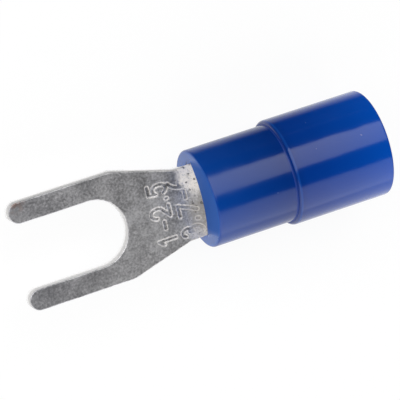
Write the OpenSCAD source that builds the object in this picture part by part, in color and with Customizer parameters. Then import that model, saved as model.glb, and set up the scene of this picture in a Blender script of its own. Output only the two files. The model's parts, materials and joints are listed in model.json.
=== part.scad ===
// Insulated fork terminal for a crimped wire and a small screw stud.
// Millimetres. The stud axis is Z through the origin, on the underside of the tongue.
// +X runs back along the barrel to the wire entry, +Z out of the marked face of the tongue.

/* [Fork] */
// Width of the slot that takes the stud
slot_w = 3.7; // [3.2:0.1:4.3]
// Width of each tine
tine_w = 1.17; // [0.9:0.01:1.8]
// Reach of the tines ahead of the stud axis
tine_reach = 4.4; // [3:0.1:7]
// Thickness of the flat tongue
tongue_t = 0.7; // [0.6:0.05:1]
// Metal behind the slot, from the slot's end to the sleeve
web_len = 4.3; // [3.4:0.1:6]
// How far the tines stay full width short of the slot's end
shoulder_set = 0.25; // [0:0.05:1]
// Radius that rounds the shoulders where the taper starts
shoulder_r = 1.6; // [0.5:0.1:2]
// Width of the neck where the roll starts
neck_w = 4.05; // [3.4:0.05:4.2]

/* [Barrel] */
// Bore that takes the bared wire
barrel_bore = 2.3; // [1.9:0.05:2.5]
// Outside diameter of the rolled barrel
barrel_od = 4.1; // [3.9:0.05:4.4]
// Length of the barrel behind the roll
barrel_len = 5.1; // [4:0.1:6]
// Length over which the flat neck is rolled to the barrel's round
roll_len = 2.3; // [1.8:0.1:3]
// How far the roll starts ahead of the sleeve
roll_lead = 1.05; // [0.4:0.05:1.2]
// Width of the strip, laid flat, where it runs into the barrel
throat_w = 3.6; // [3:0.05:4]
// Radius from the strip's edge down to the barrel's front rim
throat_r = 1; // [0.6:0.1:1.4]
// Gap left at the butted seam
seam_gap = 0.06; // [0.03:0.01:0.15]
// Chamfer at the wire end of the bore
bore_chamfer = 0.3; // [0.1:0.05:0.4]
// Number of grip grooves pressed round the bore
groove_count = 3; // [1:1:4]
// Width of a grip groove
groove_w = 0.35; // [0.2:0.05:0.5]
// Depth of a grip groove
groove_depth = 0.12; // [0.05:0.01:0.2]

/* [Sleeve] */
// Wall of the nose over the barrel
nose_wall = 0.68; // [0.6:0.01:0.75]
// Length of the nose
nose_len = 4.7; // [3.5:0.05:5.5]
// Bore that takes the wire's insulation
entry_bore = 4.5; // [4.4:0.1:5.4]
// Wall of the wire entry
entry_wall = 0.71; // [0.7:0.01:1.1]
// Length of the wire entry, from the step back
entry_len = 5.7; // [5.2:0.05:8]
// Length of the funnel that leads the strands into the barrel
funnel_len = 1.1; // [0.6:0.1:1.4]
// Wall at the front of the nose, formed round the strip
mouth_len = 0.3; // [0.2:0.05:0.5]
// Room round the strip in the mouth and behind it
mouth_gap = 0.08; // [0.05:0.01:0.15]
// Edge radius at the front of the nose
nose_edge = 0.15; // [0.05:0.01:0.2]
// Edge radius of the lip where the sleeve steps up
lip_edge = 0.2; // [0.1:0.01:0.22]
// Edge radius at the open end
rear_edge = 0.12; // [0.05:0.01:0.35]

/* [Hidden] */
$fn = 96;

// Small overlap and inset that join the rolled strip to its neighbours
lap = 0.12;
skin = 0.01;
// Rings along the rolled strip and the mouth, and facets across them
roll_rings = 20;
mouth_rings = 4;
roll_facets = 20;

axis_z = tongue_t / 2;
slot_r = slot_w / 2;
fork_half = slot_r + tine_w;
shoulder_x = slot_r - shoulder_set;
sleeve_x = slot_r + web_len;
roll_x = sleeve_x - roll_lead;
barrel_x = roll_x + roll_len;
barrel_end = barrel_x + barrel_len;
barrel_r = barrel_od / 2;
bore_r = barrel_bore / 2;
barrel_wall = barrel_r - bore_r;
barrel_mid_r = (barrel_r + bore_r) / 2;
rim_x = barrel_x + throat_r;
taper_angle = atan((fork_half - neck_w / 2) / (roll_x - shoulder_x));

room_r = max(barrel_r, neck_w / 2) + 2 * mouth_gap;
nose_r = barrel_r + nose_wall;
entry_bore_r = entry_bore / 2;
entry_r = entry_bore_r + entry_wall;
sleeve_len = nose_len + entry_len;
seat_start = rim_x - sleeve_x;
seat_end = barrel_end - sleeve_x;
metal_colour = [0.64, 0.64, 0.62];
sleeve_colour = [0.02, 0.21, 0.54];

// The roll

// Share of the roll at x: a smooth run from 0 at the flat neck to 1 at the barrel
function roll_share(x) =
    let(f = max(0, min(1, (x - roll_x) / roll_len)))
    f * f * (3 - 2 * f);

// Point of the strip's section: s along its middle line, o outwards from it
function strip_point(bend, rise, s, o) =
    bend < 0.001
    ? [s, axis_z + rise + o]
    : [(1 / bend + o) * sin(bend * s * 180 / PI),
       axis_z + rise - 1 / bend + (1 / bend + o) * cos(bend * s * 180 / PI)];

// Closed section of the strip at x, grown by some room on all sides
function strip_ring(x, room) =
    let(u = roll_share(x),
        bend = u / barrel_mid_r,
        rise = barrel_mid_r * u * u,
        half_w = (neck_w + (throat_w - neck_w) * u) / 2 + room,
        half_t = (tongue_t + (barrel_wall - tongue_t) * u) / 2 + room,
        crown = [for (j = [0 : roll_facets])
            strip_point(bend, rise, half_w * (1 - 2 * j / roll_facets), half_t)],
        hollow = [for (j = [roll_facets : -1 : 0])
            strip_point(bend, rise, half_w * (1 - 2 * j / roll_facets), -half_t)])
    [for (p = concat(crown, hollow)) [x, p[0], p[1]]];

// Strip between two places: from the flat neck its edges curl down and its middle rises to the barrel
module rolled_strip(from_x, to_x, rings, room) {
    loop = 2 * (roll_facets + 1);
    points = [for (i = [0 : rings]) each strip_ring(from_x + (to_x - from_x) * i / rings, room)];
    walls = [for (i = [0 : rings - 1], j = [0 : loop - 1])
        let(a = i * loop + j, b = i * loop + (j + 1) % loop)
        each [[a, a + loop, b], [b, a + loop, b + loop]]];
    front = [for (j = [0 : roll_facets - 1]) [j, j + 1, loop - 2 - j, loop - 1 - j]];
    last = rings * loop;
    back = [for (j = [0 : roll_facets - 1])
        [last + j, last + loop - 1 - j, last + loop - 2 - j, last + j + 1]];
    polyhedron(points = points, faces = concat(walls, front, back), convexity = 6);
}

// The fork

// Outline of the tongue without its slot: tines, rounded shoulders and taper to the neck
module tongue_outline() {
    tip_r = tine_w / 2;
    tangent = shoulder_r * tan(taper_angle / 2);
    taper_in = [tangent * cos(taper_angle), tangent * sin(taper_angle)];
    for (side = [-1, 1]) {
        translate([-tine_reach + tip_r, side * (slot_r + tip_r)])
            circle(r = tip_r);
        translate([shoulder_x - tangent, side * (fork_half - shoulder_r)])
            circle(r = shoulder_r);
    }
    polygon([
        [-tine_reach + tip_r, -fork_half],
        [shoulder_x - tangent, -fork_half],
        [shoulder_x + taper_in[0], -fork_half + taper_in[1]],
        [roll_x, -neck_w / 2],
        [roll_x, neck_w / 2],
        [shoulder_x + taper_in[0], fork_half - taper_in[1]],
        [shoulder_x - tangent, fork_half],
        [-tine_reach + tip_r, fork_half]]);
}

// Slot with a round end about the stud axis, open between the tines
module slot_outline() {
    circle(r = slot_r);
    translate([-tine_reach, -slot_r])
        square([tine_reach, slot_w]);
}

// The barrel

// Turns a shape that stands on Z so that it lies along the barrel's axis from x
module along_barrel(x) {
    translate([x, 0, axis_z])
        rotate([0, 90, 0])
            children();
}

// Room cut below the strip's edges, so that they sweep down to the barrel's front rim
module throat_cut() {
    edge_z = axis_z + barrel_mid_r * cos(throat_w / 2 / barrel_mid_r * 180 / PI);
    translate([barrel_x, 0, edge_z - throat_r])
        rotate([90, 0, 0])
            cylinder(r = throat_r, h = 2 * barrel_od, center = true);
    translate([barrel_x - throat_r, -barrel_od, edge_z - throat_r - 2 * barrel_od])
        cube([2 * throat_r, 2 * barrel_od, 2 * barrel_od]);
}

// Rolled tube with its seam underneath, grip grooves and a chamfered wire end
module barrel() {
    groove_pitch = (barrel_end - bore_chamfer - rim_x) / (groove_count + 1);
    difference() {
        along_barrel(barrel_x)
            cylinder(r = barrel_r, h = barrel_len);
        along_barrel(barrel_x - lap)
            cylinder(r = bore_r, h = barrel_len + 2 * lap);
        along_barrel(barrel_end - bore_chamfer)
            cylinder(r1 = bore_r, r2 = bore_r + bore_chamfer, h = bore_chamfer);
        for (i = [1 : groove_count])
            along_barrel(rim_x + i * groove_pitch - groove_w / 2)
                cylinder(r = bore_r + groove_depth, h = groove_w);
        translate([barrel_x - lap, -seam_gap / 2, axis_z - barrel_od])
            cube([barrel_len + 2 * lap, seam_gap, barrel_od]);
        throat_cut();
    }
}

// Stamped and rolled from one strip of plated copper
module terminal() {
    color(metal_colour) {
        linear_extrude(tongue_t)
            difference() {
                tongue_outline();
                slot_outline();
            }
        rolled_strip(roll_x - lap, barrel_x + lap, roll_rings, -skin);
        barrel();
    }
}

// The sleeve

// Half section of a round bar from y0 to y1, with rounded outer edges
module edged_bar(r, y0, y1, edge0, edge1) {
    translate([0, y0 + edge0])
        square([r, y1 - y0 - edge0 - edge1]);
    translate([0, y0])
        square([r - edge0, 2 * edge0]);
    translate([r - edge0, y0 + edge0])
        circle(r = edge0);
    translate([0, y1 - 2 * edge1])
        square([r - edge1, 2 * edge1]);
    translate([r - edge1, y1 - edge1])
        circle(r = edge1);
}

// Half section of what the sleeve is hollowed by: room for the roll, barrel seat, funnel and wire entry
module sleeve_hollow() {
    funnel_r = bore_r + bore_chamfer;
    funnel_end = seat_end + funnel_len;
    room_taper = room_r - barrel_r;
    polygon([
        [0, mouth_len],
        [room_r, mouth_len],
        [room_r, seat_start - room_taper],
        [barrel_r, seat_start],
        [barrel_r, seat_end],
        [funnel_r, seat_end],
        [entry_bore_r, funnel_end],
        [entry_bore_r, sleeve_len + lap],
        [0, sleeve_len + lap]]);
}

// Moulded insulator: a narrow nose formed round the strip, and a wider entry for the covered wire
module sleeve() {
    color(sleeve_colour)
        difference() {
            along_barrel(sleeve_x)
                rotate_extrude()
                    difference() {
                        union() {
                            edged_bar(nose_r, 0, nose_len + 2 * nose_edge, nose_edge, nose_edge);
                            edged_bar(entry_r, nose_len, sleeve_len, lip_edge, rear_edge);
                        }
                        sleeve_hollow();
                    }
            rolled_strip(sleeve_x - lap, sleeve_x + mouth_len + lap, mouth_rings, mouth_gap);
        }
}

terminal();
sleeve();
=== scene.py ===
"""Insulated fork terminal: a stamped and rolled fork of plated copper in a glossy blue sleeve.

Pieces are modelled in millimetres and scaled to metres when they become meshes.
"""
import json
import math

import bmesh
import bpy
from mathutils import Matrix, Vector
from mathutils.geometry import intersect_point_line


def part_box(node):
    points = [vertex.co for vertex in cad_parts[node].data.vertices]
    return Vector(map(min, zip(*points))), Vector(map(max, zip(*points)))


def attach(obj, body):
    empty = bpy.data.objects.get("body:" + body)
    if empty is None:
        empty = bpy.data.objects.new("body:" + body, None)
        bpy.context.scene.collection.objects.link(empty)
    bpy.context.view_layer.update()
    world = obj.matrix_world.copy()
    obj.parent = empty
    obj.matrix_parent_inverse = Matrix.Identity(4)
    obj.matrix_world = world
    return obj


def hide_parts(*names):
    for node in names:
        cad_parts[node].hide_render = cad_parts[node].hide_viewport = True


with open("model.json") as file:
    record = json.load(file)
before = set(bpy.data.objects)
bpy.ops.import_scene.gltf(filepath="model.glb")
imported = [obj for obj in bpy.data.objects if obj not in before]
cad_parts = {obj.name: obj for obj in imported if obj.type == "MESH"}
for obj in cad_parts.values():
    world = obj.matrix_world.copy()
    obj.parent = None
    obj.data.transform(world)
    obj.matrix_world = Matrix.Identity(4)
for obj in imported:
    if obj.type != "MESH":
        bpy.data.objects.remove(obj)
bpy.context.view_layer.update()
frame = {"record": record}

MM = 0.001

# Sizes in millimetres that the frame gives
fork_low, fork_high = [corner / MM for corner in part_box("terminal")]
sleeve_low, sleeve_high = [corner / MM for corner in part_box("sleeve")]
mount_sizes = {mount["name"]: mount["dims"] for mount in frame["record"]["mounts"]}
slot_r = mount_sizes["stud_slot"]["r_mm"]
tongue_t = mount_sizes["stud_slot"]["length_mm"]
bore_r = mount_sizes["wire_bore"]["r_mm"]
entry_bore_r = mount_sizes["insulation_entry"]["r_mm"]
axis_z = tongue_t / 2
tip_x = fork_low.x
barrel_end = fork_high.x
fork_half = fork_high.y
barrel_r = axis_z - fork_low.z
sleeve_x = sleeve_low.x
rear_x = sleeve_high.x
entry_r = sleeve_high.y

# Sizes in millimetres of the stamping
tip_reach = (fork_half - slot_r) / 2
shoulder_set = 0.25
shoulder_x = slot_r - shoulder_set
shoulder_reach = 0.2
roll_lead = 1.05
roll_x = sleeve_x - roll_lead
roll_len = 2.3
roll_end = roll_x + roll_len
neck_half = 2.025
throat_half = 1.8
throat_r = 1.0
rim_x = roll_end + throat_r
barrel_wall = barrel_r - bore_r
barrel_mid_r = (barrel_r + bore_r) / 2
seam_gap = 0.06
bore_chamfer = 0.3
chamfer_x = barrel_end - bore_chamfer
groove_count = 3
groove_w = 0.35
groove_depth = 0.12
groove_wall = 0.06
groove_pitch = (chamfer_x - rim_x) / (groove_count + 1)
grooves = [rim_x + groove_pitch * (i + 1) for i in range(groove_count)]
rolled_edge = 0.06
burr_edge = 0.04

# Sizes in millimetres of the sleeve
nose_wall = 0.68
nose_r = barrel_r + nose_wall
nose_len = 4.7
nose_end = sleeve_x + nose_len
mouth_len = 0.3
mouth_gap = 0.03
roll_room = 0.16
room_r = max(barrel_r, neck_half) + roll_room
room_taper = room_r - barrel_r
funnel_r = bore_r + bore_chamfer
funnel_len = 1.1
funnel_end = barrel_end + funnel_len
nose_edge = 0.15
root_edge = 0.05
lip_edge = 0.2
rear_edge = 0.12
inner_edge = 0.08
mouth_edge = 0.05

# The marking: plain size numbers, the wire's range over the slot's and the fork's width
# Each row has its text, the X of its middle and the length that it spans, in millimetres
marking_rows = (("1-2.5", 3.87, 3.75), ("3.7-6", 5.34, 3.6))
digit_h = 0.98
digit_w = 0.66
marking_margin = 0.3
marking_start = marking_rows[0][1] - digit_h / 2 - marking_margin
marking_end = marking_rows[-1][1] + digit_h / 2 + marking_margin
stroke_floor = 0.06
stroke_wall = 0.11
stroke_rim = 0.17
stroke_depth = 0.014
rim_height = 0.006

# Where a painted highlight lies on the plate, in millimetres: both flanks of the roll, +Y more than -Y
highlight_lead = 1.2
highlight_late = 1.0
highlight_fade = 0.5
highlight_middle = -0.25
highlight_inner = 0.45
highlight_outer = 1.2
highlight_width = 1.5
far_inner = 0.9
far_share = 0.6

# Where painted shade lies before the mouth, in millimetres
shade_lead = 1.1
shade_x = sleeve_x - shade_lead
shade_fade = 0.6
shade_y = -0.95
shade_core = 0.65
shade_reach = 1.95

# Where the plate is worn to the copper, at the +Y tine's tip, in millimetres
worn_x = -3.9
worn_y = 2.95
worn_core = 0.1
worn_reach = 0.65
worn_share = 0.8

# Stretches of the sleeve that look different, in millimetres from its front, its step and its rear
front_skin = (0.01, 0.05)
step_fade = (-0.3, 0.6)
# The root's stretch holds painted shade
root_rise = (-0.1, -0.06)
root_fall = (0, 0.02)
# The lip's stretch holds a painted highlight
lip_rise = (0.06, 0.1)
lip_fall = (0.16, 0.2)
entry_fade = 2.2
rear_fade = 4.2

# The part of the front face above the strip, a little to +Y of the middle, in millimetres
formed_y = 0.18
formed_inner = neck_half - 0.3
formed_outer = neck_half + 0.1
formed_top = axis_z + 0.25

# How finely the meshes are divided, in segments and in millimetres
tip_segments = 12
slot_segments = 32
shoulder_segments = 6
throat_segments = 12
edge_segments = 3
rim_segments = 8
spin_steps = 240
mouth_side_steps = 10
mouth_face_steps = spin_steps // 2 - mouth_side_steps
roll_mesh = 0.1
wrap_mesh = 0.14
marking_mesh = 0.023

# Places closer than these, in millimetres, are taken as one: in general, in the blank and at a cut
NEAR = 1e-4
BLANK_WELD = 1e-3
CUT_SNAP = 1e-5


# Mesh helpers

def object_from(bm, name, materials):
    """Turns a bmesh in metres into an object of the scene."""
    mesh = bpy.data.meshes.new(name)
    bm.to_mesh(mesh)
    bm.free()
    for material in materials:
        mesh.materials.append(material)
    made = bpy.data.objects.new(name, mesh)
    bpy.context.scene.collection.objects.link(made)
    return made


def finish_piece(bm, name, node, materials):
    """Turns a bmesh in millimetres into a smooth piece that stands for a node of the frame."""
    for face in bm.faces:
        face.smooth = True
    bmesh.ops.scale(bm, vec=Vector((MM, MM, MM)), verts=bm.verts)
    piece = object_from(bm, name, materials)
    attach(piece, "root")
    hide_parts(node)
    even = piece.modifiers.new("even_faces", "WEIGHTED_NORMAL")
    even.keep_sharp = True


def outline_face(bm, corners):
    """One flat face from a list of corners."""
    verts = [bm.verts.new(corner) for corner in corners]
    bm.faces.new(verts)
    return verts


def round_off(bm, geom, affect, reach, segments):
    """Rounds edges, or the corners of an outline, from the given reach before them."""
    bmesh.ops.bevel(bm, geom=geom, offset=reach, offset_type="OFFSET", segments=segments,
                    profile=0.5, affect=affect, material=-1)


def slice_faces(bm, faces, axis, places):
    """Cuts the faces along planes across one axis and gives back the faces that result."""
    edges = {edge for face in faces for edge in face.edges}
    verts = {vert for face in faces for vert in face.verts}
    geom = list(faces) + list(edges) + list(verts)
    for place in places:
        cut = bmesh.ops.bisect_plane(bm, geom=geom, dist=CUT_SNAP, plane_co=axis * place, plane_no=axis)
        geom = cut["geom"]
    return [item for item in geom if isinstance(item, bmesh.types.BMFace)]


def steps(start, end, pitch):
    """Places from start to end at about the given pitch."""
    count = max(1, round((end - start) / pitch))
    return [start + (end - start) * i / count for i in range(count + 1)]


def ramp(value, start, end):
    """Smooth run from 0 at the start to 1 at the end."""
    share = min(max((value - start) / (end - start), 0.0), 1.0)
    return share * share * (3 - 2 * share)


# The marking

def arc(x, y, radius, start, end, count=12):
    """Points of an arc, with its angles in degrees."""
    turns = [math.radians(start + (end - start) * i / count) for i in range(count + 1)]
    return [(x + radius * math.cos(turn), y + radius * math.sin(turn)) for turn in turns]


# Strokes of each sign in a cell one unit wide and high
SIGNS = {
    "1": [[(0.22, 0.74), (0.55, 1.0), (0.55, 0.0)]],
    "2": [arc(0.48, 0.70, 0.40, 165, -35) + [(0.06, 0.0), (0.95, 0.0)]],
    "3": [arc(0.46, 0.75, 0.33, 150, -90) + arc(0.46, 0.24, 0.42, 85, -150)],
    "5": [[(0.88, 1.0), (0.20, 1.0), (0.14, 0.56)] + arc(0.46, 0.32, 0.40, 130, -150)],
    "6": [arc(0.47, 0.30, 0.38, 0, 360, 20), arc(1.20, 0.30, 1.11, 115, 180)],
    "7": [[(0.05, 1.0), (0.95, 1.0), (0.36, 0.0)]],
    "-": [[(0.10, 0.45), (0.70, 0.45)]],
    ".": [[(0.15, 0.0), (0.15, 0.06)]],
}

# How far each sign moves the row on, in cells
DIGIT_ADVANCE = 1.3
ADVANCE = {"-": 0.95, ".": 0.55}


def marking_strokes():
    """Straight strokes of both rows on the tongue. A row reads along +Y with its top towards -X."""
    strokes = []
    for row, row_x, row_span in marking_rows:
        advances = [ADVANCE.get(sign, DIGIT_ADVANCE) for sign in row]
        stretch = row_span / (sum(advances) * digit_w)
        reading = -row_span / 2
        for sign, advance in zip(row, advances):
            for line in SIGNS[sign]:
                points = [Vector((row_x + (0.5 - up) * digit_h, reading + across * digit_w, 0))
                          for across, up in line]
                strokes += zip(points, points[1:])
            reading += advance * digit_w * stretch
    return strokes


def stroke_distance(place, strokes):
    """Distance of a place on the tongue from the nearest stroke, at most as far as the rim reaches."""
    nearest = stroke_rim
    for start, end in strokes:
        share = intersect_point_line(place, start, end)[1]
        near = start.lerp(end, min(max(share, 0.0), 1.0))
        nearest = min(nearest, (place - near).length)
    return nearest


def strike_marking(bm):
    """Presses the strokes into the marked face, with a low rim of metal pushed up beside them."""
    struck = bm.verts.layers.float.new("struck")
    rim = bm.verts.layers.float.new("rim")
    strokes = marking_strokes()
    for vert in bm.verts:
        if vert.co.z < tongue_t - NEAR or not marking_start < vert.co.x < marking_end:
            continue
        distance = stroke_distance(Vector((vert.co.x, vert.co.y, 0)), strokes)
        wall = ramp(distance, stroke_floor, stroke_wall)
        vert[struck] = 1 - wall
        vert[rim] = wall * (1 - ramp(distance, stroke_wall, stroke_rim))
        vert.co.z += rim_height * vert[rim] - stroke_depth * vert[struck]


# The terminal

def flat_blank():
    """The stamping before it is rolled: its outline with rounded corners, as thick as the strip."""
    blank_half = math.pi * barrel_mid_r - seam_gap / 2
    side = [(tip_x, slot_r), (tip_x, fork_half), (shoulder_x, fork_half), (roll_x, neck_half),
            (rim_x, throat_half), (rim_x, blank_half), (barrel_end, blank_half)]
    corners = side + [(x, -y) for x, y in reversed(side)] + [(slot_r, -slot_r), (slot_r, slot_r)]
    bm = bmesh.new()
    verts = outline_face(bm, [(x, y, 0) for x, y in corners])
    roundings = ((tip_x, (slot_r, fork_half), tip_reach, tip_segments),
                 (slot_r, (slot_r,), slot_r, slot_segments),
                 (shoulder_x, (fork_half,), shoulder_reach, shoulder_segments),
                 (rim_x, (throat_half,), throat_r, throat_segments))
    for x, levels, reach, segments in roundings:
        chosen = [vert for vert in verts if vert.is_valid and abs(vert.co.x - x) < NEAR
                  and any(abs(abs(vert.co.y) - y) < NEAR for y in levels)]
        round_off(bm, chosen, "VERTICES", reach, segments)
    bmesh.ops.remove_doubles(bm, verts=bm.verts, dist=BLANK_WELD)
    raised = bmesh.ops.extrude_face_region(bm, geom=list(bm.faces))
    top = [item for item in raised["geom"] if isinstance(item, bmesh.types.BMVert)]
    bmesh.ops.translate(bm, verts=top, vec=Vector((0, 0, tongue_t)))
    bmesh.ops.recalc_face_normals(bm, faces=bm.faces)
    return bm


def soften_sheared_edges(bm):
    """Rounds the edges round both faces, and gives the wall between them the second material."""
    sharp_angle = 0.5
    wall_slope = 0.5
    for level, radius in ((tongue_t, rolled_edge), (0, burr_edge)):
        edges = [edge for edge in bm.edges
                 if len(edge.link_faces) == 2 and edge.calc_face_angle() > sharp_angle
                 and all(abs(vert.co.z - level) < NEAR for vert in edge.verts)]
        round_off(bm, edges, "EDGES", radius, edge_segments)
    for face in bm.faces:
        face.material_index = int(abs(face.normal.z) < wall_slope)


def cut_for_rolling(bm):
    """Cuts lines across and along the stretch that is rolled, with closer ones at the marking."""
    along = Vector((1, 0, 0))
    across = Vector((0, 1, 0))
    roll_lines = steps(roll_x, rim_x, roll_mesh) + [chamfer_x]
    for middle in grooves:
        for half in (groove_w / 2, groove_w / 2 + groove_wall):
            roll_lines += [middle - half, middle + half]
    slice_faces(bm, list(bm.faces), along, sorted(roll_lines))
    rolled_faces = [face for face in bm.faces if face.calc_center_median().x > roll_x]
    reach = math.pi * barrel_mid_r
    slice_faces(bm, rolled_faces, across, steps(-reach, reach, wrap_mesh))
    slice_faces(bm, list(bm.faces), along, (marking_start, marking_end))
    marked = [face for face in bm.faces if face.calc_center_median().z > tongue_t - NEAR
              and marking_start < face.calc_center_median().x < marking_end]
    marked = slice_faces(bm, marked, along, steps(marking_start, marking_end, marking_mesh)[1:-1])
    slice_faces(bm, marked, across, steps(-fork_half, fork_half, marking_mesh))


def bore_relief(x):
    """How far the bore's wall is cut back at x, by the grip grooves and the chamfer."""
    relief = max(0.0, x - chamfer_x)
    for middle in grooves:
        outside = abs(x - middle) - groove_w / 2
        relief = max(relief, groove_depth * min(1.0, max(0.0, 1 - outside / groove_wall)))
    return relief


def roll_share(x):
    """How far the strip is rolled at x, from 0 at the flat neck to 1 at the barrel."""
    return ramp(x, roll_x, roll_end)


def rolled(flat):
    """Where a place of the blank ends up: edges curl down, the middle rises to the barrel's round."""
    hardly_rolled = 1e-5
    bore_side = -0.95
    share = roll_share(flat.x)
    if share < hardly_rolled:
        return flat
    outward = (flat.z - axis_z) / axis_z
    offset = outward * (axis_z + (barrel_wall / 2 - axis_z) * share)
    if outward < bore_side:
        offset += bore_relief(flat.x)
    bend_r = barrel_mid_r / share
    turn = flat.y / bend_r
    centre_z = axis_z + barrel_mid_r * share * share - bend_r
    out = bend_r + offset
    return Vector((flat.x, out * math.sin(turn), centre_z + out * math.cos(turn)))


def mark_painted_light(bm):
    """Marks where a painted highlight lies on the roll's flanks, and painted shade before the mouth."""
    highlighted = bm.verts.layers.float.new("highlighted")
    painted_shade = bm.verts.layers.float.new("painted_shade")
    for vert in bm.verts:
        # Painted highlight on both flanks of the roll, +Y more than -Y
        flank = abs(vert.co.y - highlight_middle)
        start = sleeve_x - highlight_lead + highlight_late * max(0.0, 1 - flank / highlight_width)
        share = ramp(vert.co.x, start, start + highlight_fade) * ramp(flank, highlight_inner, highlight_outer)
        if vert.co.y < highlight_middle:
            share *= far_share * ramp(flank, far_inner, highlight_width)
        vert[highlighted] = share
        # Painted shade on the crown before the mouth
        beside = abs(vert.co.y - shade_y)
        before_mouth = ramp(vert.co.x, shade_x, shade_x + shade_fade)
        vert[painted_shade] = before_mouth * (1 - ramp(beside, shade_core, shade_reach))


def make_terminal(plate, sheared):
    """The fork, its neck and its barrel, stamped and rolled from one strip."""
    bm = flat_blank()
    soften_sheared_edges(bm)
    cut_for_rolling(bm)
    strike_marking(bm)
    mark_painted_light(bm)
    for vert in bm.verts:
        vert.co = rolled(vert.co)
    finish_piece(bm, "fork_and_barrel", "terminal", (plate, sheared))


# The sleeve

def mouth_loop(bm, x):
    """Edges of the mouth at x: the strip's flat section with some room, rolled as the strip is."""
    half_w = neck_half + (throat_half - neck_half) * roll_share(x) + mouth_gap
    corners = [(half_w, tongue_t + mouth_gap), (-half_w, tongue_t + mouth_gap),
               (-half_w, -mouth_gap), (half_w, -mouth_gap)]
    verts = [bm.verts.new((x, y, z)) for y, z in corners]
    sides = [bm.edges.new((vert, after)) for vert, after in zip(verts, verts[1:] + verts[:1])]
    bmesh.ops.subdivide_edges(bm, edges=sides[0::2], cuts=mouth_face_steps - 1)
    bmesh.ops.subdivide_edges(bm, edges=sides[1::2], cuts=mouth_side_steps - 1)
    loop = [edge for edge in bm.edges if edge.is_wire and abs(edge.verts[0].co.x - x) < NEAR]
    for vert in {vert for edge in loop for vert in edge.verts}:
        vert.co = rolled(vert.co)
    return loop


def form_mouth(bm):
    """Closes the nose's front wall, between its two round rims, with a mouth that fits the strip."""
    rims = [edge for edge in bm.edges if edge.is_boundary]
    front = [edge for edge in rims if edge.verts[0].co.x < sleeve_x + mouth_len / 2]
    back = [edge for edge in rims if edge not in front]
    mouth = mouth_loop(bm, sleeve_x)
    throat = mouth_loop(bm, sleeve_x + mouth_len)
    for loops in (front + mouth, mouth + throat, throat + back):
        bmesh.ops.bridge_loops(bm, edges=loops)
    round_off(bm, mouth, "EDGES", mouth_edge, edge_segments)


def make_sleeve(plastic):
    """The moulded insulator, turned from its half section, with its mouth formed round the strip."""
    section = (
        (sleeve_x, room_r, 0),
        (sleeve_x, nose_r, nose_edge),
        (nose_end, nose_r, root_edge),
        (nose_end, entry_r, lip_edge),
        (rear_x, entry_r, rear_edge),
        (rear_x, entry_bore_r, inner_edge),
        (funnel_end, entry_bore_r, inner_edge),
        (barrel_end, funnel_r, 0),
        (barrel_end, barrel_r, 0),
        (rim_x, barrel_r, 0),
        (rim_x - room_taper, room_r, 0),
        (sleeve_x + mouth_len, room_r, 0),
    )
    bm = bmesh.new()
    verts = outline_face(bm, [(x, 0, axis_z + r) for x, r, rounding in section])
    for vert, corner in zip(verts, section):
        rounding = corner[-1]
        if rounding:
            round_off(bm, [vert], "VERTICES", rounding, rim_segments)
    bmesh.ops.delete(bm, geom=list(bm.faces), context="FACES_ONLY")
    opening = bm.edges.get((verts[0], verts[-1]))
    bm.edges.remove(opening)
    bmesh.ops.spin(bm, geom=list(bm.edges) + list(bm.verts), cent=Vector((0, 0, axis_z)),
                   axis=Vector((1, 0, 0)), angle=math.tau, steps=spin_steps, use_merge=True)
    bmesh.ops.remove_doubles(bm, verts=bm.verts, dist=NEAR)
    form_mouth(bm)
    bmesh.ops.recalc_face_normals(bm, faces=bm.faces)
    finish_piece(bm, "insulating_sleeve", "sleeve", (plastic,))


# Materials

# Colours of the plate, in linear red, green and blue
tine_dark = (0.35, 0.35, 0.375)
tine_light = (0.75, 0.745, 0.77)
web_dark = (0.38, 0.375, 0.38)
web_light = (0.93, 0.92, 0.925)
# Painted shade on the crown before the mouth
shade_grey = (0.355, 0.33, 0.30)
# Painted highlight on the roll's flanks and the strokes' rims
highlight_tin = (0.98, 0.92, 0.84)
# Darker colour in the strokes
stroke_dark = (0.12, 0.11, 0.10)
grime_black = (0.06, 0.06, 0.065)
bare_copper = (0.42, 0.29, 0.25)
shear_dark = (0.75, 0.74, 0.73)
shear_light = (0.84, 0.83, 0.82)
burnished_tin = (0.97, 0.965, 0.96)

# Colours of the sleeve, in pairs where the plastic swirls between two
nose_front_blues = ((0.0, 0.050, 0.316), (0.0, 0.057, 0.344))
nose_back_blues = ((0.0, 0.025, 0.188), (0.0, 0.031, 0.212))
entry_front_blues = ((0.0, 0.033, 0.250), (0.0, 0.039, 0.274))
entry_back_blues = ((0.0, 0.040, 0.290), (0.0, 0.047, 0.322))
rear_blue = (0.0, 0.080, 0.50)
front_face_blue = (0.008, 0.108, 0.48)
# Painted shade in the corner at the step's root
root_shade_blue = (0.0, 0.034, 0.26)
# Painted highlight on the lip's rounded edge
lip_highlight_blue = (0.01, 0.10, 0.46)
dust_blue = (0.25, 0.32, 0.55)

# Noises of the finishes: cells per metre, detail and roughness
plate_grain = (8200, 4, 0.7)
plate_fleck = (3600, 3, 0.6)
plate_cloud = (900, 3, 0.5)
punch_lines = (9000, 3, 0.6)
vinyl_wave = (450, 2, 0.4)
vinyl_swirl = (900, 4, 0.6)
vinyl_dust = (5200, 1, 0.5)

# Depths of the fine relief in the finishes, in millimetres
grain_depth = 0.010
punch_line_depth = 0.008
wave_depth = 0.05

# The grain's share in the plate's patches, how much painted highlight the strokes' rims take, and how much
# the painted highlight and shade roughen
grain_share = 0.55
rim_highlight = 0.55
dull_roughness = 0.3

# The sheared wall: from where it is burnished, how much smoother that is, and how its lines stretch
burnish_low = 0.3 * tongue_t
burnish_high = 0.55 * tongue_t
burnished_roughness = -0.3
punch_line_stretch = (1, 1, 0.12)

# How the sleeve's rear grows paler, the painted highlight's share of the lip's colour, and where the
# plastic is less glossy
rear_curve = 1.4
lip_share = 0.35
nose_haze = 0.07
formed_haze = 0.5
root_haze = 0.35
vinyl_ior = 1.5


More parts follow.
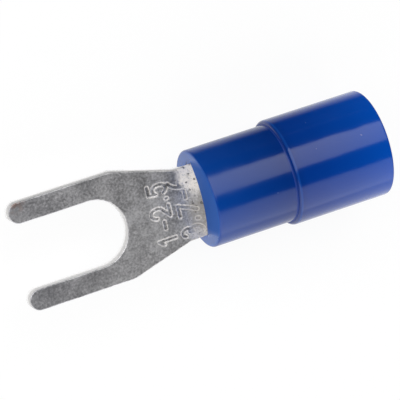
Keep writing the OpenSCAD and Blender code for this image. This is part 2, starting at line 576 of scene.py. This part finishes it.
class Finish:
    """A material built up from nodes. A value is a number, a colour, a vector or a node's socket."""

    def __init__(self, name):
        self.material = bpy.data.materials.new(name)
        self.material.use_nodes = True
        self.tree = self.material.node_tree
        self.tree.nodes.clear()

    def add(self, kind, values, **settings):
        """A node with its settings, and with the values of its inputs by name or number."""
        node = self.tree.nodes.new(kind)
        for name, setting in settings.items():
            setattr(node, name, setting)
        for name, value in values.items():
            socket = node.inputs[name]
            if isinstance(value, bpy.types.NodeSocket):
                self.tree.links.new(value, socket)
            elif socket.type == "RGBA":
                socket.default_value = (*value, 1)
            else:
                socket.default_value = value
        return node

    def place(self):
        """Object coordinates, in metres."""
        return self.add("ShaderNodeTexCoord", {}).outputs["Object"]

    def axes(self, place):
        """X, Y and Z of a place by themselves."""
        return self.add("ShaderNodeSeparateXYZ", {"Vector": place}).outputs

    def attribute(self, name):
        """A number that the mesh holds at each vertex."""
        return self.add("ShaderNodeAttribute", {}, attribute_name=name).outputs["Fac"]

    def noise(self, place, scale, detail, roughness):
        """A cloudy pattern between 0 and 1."""
        values = {"Vector": place, "Scale": scale, "Detail": detail, "Roughness": roughness}
        return self.add("ShaderNodeTexNoise", values).outputs["Fac"]

    def spread(self, value, low, high, to_low=0, to_high=1):
        """Maps a value from one range to another, clamped."""
        values = {"Value": value, "From Min": low, "From Max": high, "To Min": to_low, "To Max": to_high}
        return self.add("ShaderNodeMapRange", values).outputs["Result"]

    def between(self, axis, start, end, to_start=0, to_end=1):
        """Maps a coordinate between two places in millimetres, clamped."""
        return self.spread(axis, start * MM, end * MM, to_start, to_end)

    def past(self, axis, place):
        """How far a coordinate lies past a place in millimetres."""
        return self.work_out("SUBTRACT", axis, place * MM)

    def band(self, axis, rise, fall, height=1):
        """A stretch of a coordinate that starts over the rise and ends over the fall, in millimetres."""
        started = self.between(axis, *rise, 0, height)
        return self.times(started, self.between(axis, *fall, 1, 0))

    def blend(self, share, first, second):
        """Mixes two colours."""
        return self.add("ShaderNodeMix", {0: share, 6: first, 7: second}, data_type="RGBA").outputs[2]

    def work_out(self, operation, first, second=0):
        """The result of one operation on one or two values."""
        return self.add("ShaderNodeMath", {0: first, 1: second}, operation=operation).outputs["Value"]

    def plus(self, first, second):
        return self.work_out("ADD", first, second)

    def times(self, first, second):
        return self.work_out("MULTIPLY", first, second)

    def larger(self, first, second):
        return self.work_out("MAXIMUM", first, second)

    def bump(self, height, depth, strength):
        """A fine relief, with its depth in millimetres."""
        values = {"Height": height, "Distance": depth * MM, "Strength": strength}
        return self.add("ShaderNodeBump", values).outputs["Normal"]

    def mix(self, share, first, second):
        """Mixes two shaders."""
        return self.add("ShaderNodeMixShader", {0: share, 1: first, 2: second}).outputs["Shader"]

    def cover(self, shader):
        """Lays a shader on the surface and gives back the material."""
        self.add("ShaderNodeOutputMaterial", {"Surface": shader})
        return self.material

    def cover_solid(self, values):
        """Lays a metal or plastic surface with the given values and gives back the material."""
        return self.cover(self.add("ShaderNodeBsdfPrincipled", values).outputs["BSDF"])


def worn_tip(finish, place, fleck):
    """Share of bare copper in the specks at one tine's tip, where the plate is worn."""
    worn_place = (worn_x * MM, worn_y * MM, tongue_t * MM)
    away = finish.add("ShaderNodeVectorMath", {0: place, 1: worn_place}, operation="DISTANCE")
    near = finish.between(away.outputs["Value"], worn_core, worn_reach, worn_share, 0)
    return finish.times(near, finish.spread(fleck, 0.48, 0.60))


def plated_face():
    """Satin tin plate with a mottled grain, brighter towards the web.

    Painted shade darkens it before the mouth, and a painted highlight makes the roll's flanks and the
    strokes' rims pale. The strokes are darker, grime lies in specks at the mouth, and copper shows at one
    tine's tip.
    """
    finish = Finish("satin_tin_plate")
    place = finish.place()
    grain = finish.noise(place, *plate_grain)
    fleck = finish.noise(place, *plate_fleck)
    cloud = finish.noise(place, *plate_cloud)
    struck = finish.attribute("struck")
    rim = finish.attribute("rim")
    highlighted = finish.attribute("highlighted")
    painted_shade = finish.attribute("painted_shade")

    patches = finish.plus(finish.times(grain, grain_share), finish.times(cloud, 1 - grain_share))
    mottle = finish.spread(patches, 0.38, 0.62)
    tine = finish.blend(mottle, tine_dark, tine_light)
    web = finish.blend(mottle, web_dark, web_light)
    colour = finish.blend(finish.between(finish.axes(place)["X"], tip_x, roll_x), tine, web)

    # Painted shade: the crown darker before the mouth
    shade_share = finish.times(painted_shade, finish.spread(grain, 0.38, 0.60, 1, 0.55))
    colour = finish.blend(shade_share, colour, shade_grey)
    # Painted highlight: the roll's flanks and the strokes' rims made pale
    highlight = finish.larger(highlighted, finish.times(rim, rim_highlight))
    highlight = finish.times(highlight, finish.spread(grain, 0.34, 0.5, 0.35, 1))
    colour = finish.blend(highlight, colour, highlight_tin)
    # The strokes darker, less so under the painted highlight
    stroke_darkening = finish.times(struck, finish.spread(fleck, 0.44, 0.62, 0, 0.6))
    stroke_darkening = finish.times(stroke_darkening, finish.spread(highlighted, 0, 1, 1, 0.35))
    colour = finish.blend(stroke_darkening, colour, stroke_dark)
    grime = finish.times(finish.larger(painted_shade, highlighted), finish.spread(fleck, 0.59, 0.64, 0, 0.9))
    colour = finish.blend(grime, colour, grime_black)
    colour = finish.blend(worn_tip(finish, place, fleck), colour, bare_copper)

    dull = finish.larger(highlight, shade_share)
    satin = finish.spread(grain, 0.3, 0.7, 0.36, 0.48)
    return finish.cover_solid({
        "Base Color": colour,
        "Metallic": finish.spread(dull, 0, 1, 1, 0.2),
        "Roughness": finish.plus(satin, finish.times(dull, dull_roughness)),
        "Normal": finish.bump(grain, grain_depth, 0.6),
    })


def sheared_wall():
    """Bright metal of the sheared edges: matte above, burnished near the underside, lined by the punch."""
    finish = Finish("sheared_tin_edge")
    place = finish.place()
    stretched = finish.add("ShaderNodeMapping", {"Vector": place, "Scale": punch_line_stretch})
    lines = finish.noise(stretched.outputs["Vector"], *punch_lines)
    burnished = finish.between(finish.axes(place)["Z"], burnish_low, burnish_high, 1, 0)
    colour = finish.blend(finish.spread(lines, 0.35, 0.65), shear_dark, shear_light)
    matte = finish.spread(lines, 0.3, 0.7, 0.4, 0.55)
    return finish.cover_solid({
        "Base Color": finish.blend(burnished, colour, burnished_tin),
        "Metallic": finish.spread(burnished, 0, 1, 0.4, 1),
        "Roughness": finish.plus(matte, finish.times(burnished, burnished_roughness)),
        "Normal": finish.bump(lines, punch_line_depth, 0.5),
    })


def blue_plastic():
    """Glossy moulded vinyl, paler at both ends where light comes through its wall.

    The step has painted shade at its root and a painted highlight on its lip, and the front face is less
    glossy above the strip.
    """
    finish = Finish("glossy_blue_vinyl")
    place = finish.place()
    axes = finish.axes(place)
    wave = finish.noise(place, *vinyl_wave)
    swirl = finish.noise(place, *vinyl_swirl)
    dust = finish.noise(place, *vinyl_dust)

    from_front = finish.past(axes["X"], sleeve_x)
    from_step = finish.past(axes["X"], nose_end)
    from_rear = finish.past(axes["X"], rear_x)
    front = finish.between(from_front, *front_skin, 1, 0)
    along_nose = finish.between(from_front, 0, nose_len)
    entry = finish.between(from_step, *step_fade)
    along_entry = finish.between(from_step, 0, entry_fade)
    root = finish.band(from_step, root_rise, root_fall)
    lip = finish.band(from_step, lip_rise, lip_fall, lip_share)
    rear = finish.work_out("POWER", finish.between(from_rear, -rear_fade, 0), rear_curve)
    beside = finish.work_out("ABSOLUTE", finish.past(axes["Y"], formed_y))
    over_strip = finish.times(finish.between(axes["Z"], axis_z, formed_top),
                              finish.between(beside, formed_inner, formed_outer, 1, 0))

    nose_front = finish.blend(swirl, *nose_front_blues)
    nose_back = finish.blend(swirl, *nose_back_blues)
    entry_front = finish.blend(swirl, *entry_front_blues)
    entry_back = finish.blend(swirl, *entry_back_blues)
    nose_body = finish.blend(along_nose, nose_front, nose_back)
    entry_body = finish.blend(along_entry, entry_front, entry_back)
    colour = finish.blend(entry, nose_body, entry_body)
    colour = finish.blend(rear, colour, rear_blue)
    colour = finish.blend(front, colour, front_face_blue)
    # Painted shade at the step's root
    colour = finish.blend(root, colour, root_shade_blue)
    # Painted highlight on the lip
    colour = finish.blend(lip, colour, lip_highlight_blue)
    colour = finish.blend(finish.spread(dust, 0.80, 0.83, 0, 0.5), colour, dust_blue)

    gloss = finish.spread(swirl, 0.3, 0.7, 0.12, 0.17)
    gloss = finish.plus(gloss, finish.spread(along_nose, 0, 1, nose_haze, 0))
    gloss = finish.plus(gloss, finish.times(finish.times(front, over_strip), formed_haze))
    gloss = finish.plus(gloss, finish.times(root, root_haze))
    return finish.cover_solid({
        "Base Color": colour,
        "Roughness": gloss,
        "IOR": vinyl_ior,
        "Normal": finish.bump(wave, wave_depth, 0.5),
    })


# The stage

# The floor and a dark card on it: half sizes in metres, and the card's place in millimetres
floor_half = 4.0
floor_paint = (0.85, 0.85, 0.85)
floor_glow = 1.04
floor_glow_share = 0.88
card_half = 0.4
card_paint = (0.01, 0.01, 0.01)
card_y = 3.8
card_fade = 3.0
card_lift = 0.02

# Light panels, in metres, and the strength of the light from all round
panel_length = 2.2
panel_distance = 1.0
room_light = 0.03

# The camera that fits the photograph: angles in degrees, its place and its lens in millimetres
camera_azimuth = 231.68
camera_elevation = 66.21
camera_roll = 112.49
camera_place = (-57.02, 49.94, 183.35)
camera_lens = 335.26
camera_sensor = 36


def flat_sheet(name, half, centre, material):
    """A level square of the stage, in metres."""
    bm = bmesh.new()
    bmesh.ops.create_grid(bm, x_segments=1, y_segments=1, size=half)
    bmesh.ops.translate(bm, verts=bm.verts, vec=Vector(centre))
    return object_from(bm, name, (material,))


def white_floor():
    """White paint that shows as white, also in reflections, and keeps a faint shadow."""
    finish = Finish("white_floor")
    paint = finish.add("ShaderNodeBsdfDiffuse", {"Color": floor_paint}).outputs["BSDF"]
    glow = finish.add("ShaderNodeEmission", {"Strength": floor_glow}).outputs["Emission"]
    ray = finish.add("ShaderNodeLightPath", {}).outputs
    seen = finish.larger(ray["Is Camera Ray"], ray["Is Glossy Ray"])
    seen = finish.larger(seen, ray["Is Transmission Ray"])
    return finish.cover(finish.mix(finish.times(seen, floor_glow_share), paint, glow))


def make_floor():
    floor = flat_sheet("floor", floor_half, (0, 0, sleeve_low.z * MM), white_floor())


def black_card():
    """Black paint that fades in from the card's near edge."""
    finish = Finish("black_card")
    paint = finish.add("ShaderNodeBsdfDiffuse", {"Color": card_paint}).outputs["BSDF"]
    clear = finish.add("ShaderNodeBsdfTransparent", {}).outputs["BSDF"]
    shown = finish.between(finish.axes(finish.place())["Y"], card_y, card_y + card_fade)
    return finish.cover(finish.mix(shown, clear, paint))


def make_flag():
    """A dark card on the floor beyond the +Y side, which only reflections see."""
    centre = (0, card_half + card_y * MM, (sleeve_low.z + card_lift) * MM)
    flag = flat_sheet("flag", card_half, centre, black_card())
    flag.visible_camera = False
    flag.visible_diffuse = False
    flag.visible_shadow = False
    flag.visible_transmission = False


def make_panel(name, tilt, lean, width, strengths):
    """A long soft light panel that faces the object, brighter towards one long side.

    It is tilted from the vertical towards +Y and leant to +X, in degrees.
    """
    light = bpy.data.lights.new(name, "AREA")
    light.shape = "RECTANGLE"
    light.size = panel_length
    light.size_y = width
    light.energy = math.pi * width * panel_length
    light.use_nodes = True
    nodes = light.node_tree.nodes
    links = light.node_tree.links
    split = nodes.new("ShaderNodeSeparateXYZ")
    fade = nodes.new("ShaderNodeMapRange")
    links.new(nodes.new("ShaderNodeNewGeometry").outputs["Parametric"], split.inputs["Vector"])
    links.new(split.outputs["Y"], fade.inputs["Value"])
    fade.inputs["To Min"].default_value = strengths[0]
    fade.inputs["To Max"].default_value = strengths[1]
    links.new(fade.outputs["Result"], nodes["Emission"].inputs["Strength"])
    panel = bpy.data.objects.new(name, light)
    turn = Matrix.Rotation(math.radians(-tilt), 4, "X") @ Matrix.Rotation(math.radians(lean), 4, "Y")
    panel.matrix_world = turn @ Matrix.Translation((0, 0, panel_distance))
    panel.visible_camera = False
    bpy.context.scene.collection.objects.link(panel)


def light_room():
    """A faint light from all round, which the camera sees as white."""
    world = bpy.data.worlds.new("studio")
    bpy.context.scene.world = world
    world.use_nodes = True
    nodes = world.node_tree.nodes
    links = world.node_tree.links
    nodes.clear()
    dim = nodes.new("ShaderNodeBackground")
    dim.inputs["Strength"].default_value = room_light
    white = nodes.new("ShaderNodeBackground")
    white.inputs["Color"].default_value = (1, 1, 1, 1)
    ray = nodes.new("ShaderNodeLightPath")
    mix = nodes.new("ShaderNodeMixShader")
    output = nodes.new("ShaderNodeOutputWorld")
    links.new(ray.outputs["Is Camera Ray"], mix.inputs[0])
    links.new(dim.outputs["Background"], mix.inputs[1])
    links.new(white.outputs["Background"], mix.inputs[2])
    links.new(mix.outputs["Shader"], output.inputs["Surface"])


def make_camera():
    """The photograph's view: where the camera stands, how it is rolled and its long lens."""
    azimuth = math.radians(camera_azimuth)
    elevation = math.radians(camera_elevation)
    roll = math.radians(camera_roll)
    back = Vector((math.sin(azimuth) * math.cos(elevation), -math.cos(azimuth) * math.cos(elevation),
                   math.sin(elevation)))
    level = Vector((0, 0, 1)).cross(back).normalized()
    rise = back.cross(level)
    right = math.cos(roll) * level + math.sin(roll) * rise
    up = back.cross(right)
    camera_data = bpy.data.cameras.new("camera")
    camera_data.lens = camera_lens
    camera_data.sensor_width = camera_sensor
    camera_data.clip_start = 0.01
    camera_data.clip_end = 20
    camera = bpy.data.objects.new("camera", camera_data)
    turn = Matrix((right, up, back)).transposed()
    camera.matrix_world = Matrix.Translation(Vector(camera_place) * MM) @ turn.to_4x4()
    bpy.context.scene.collection.objects.link(camera)
    bpy.context.scene.camera = camera


make_terminal(plated_face(), sheared_wall())
make_sleeve(blue_plastic())
make_floor()
make_flag()
make_panel("softbox", tilt=31.5, lean=-14, width=0.93, strengths=(1.6, 2.3))
make_panel("fill", tilt=-60, lean=-10, width=1.25, strengths=(1.7, 1.02))
light_room()
make_camera()
bpy.context.scene.view_settings.view_transform = "Standard"
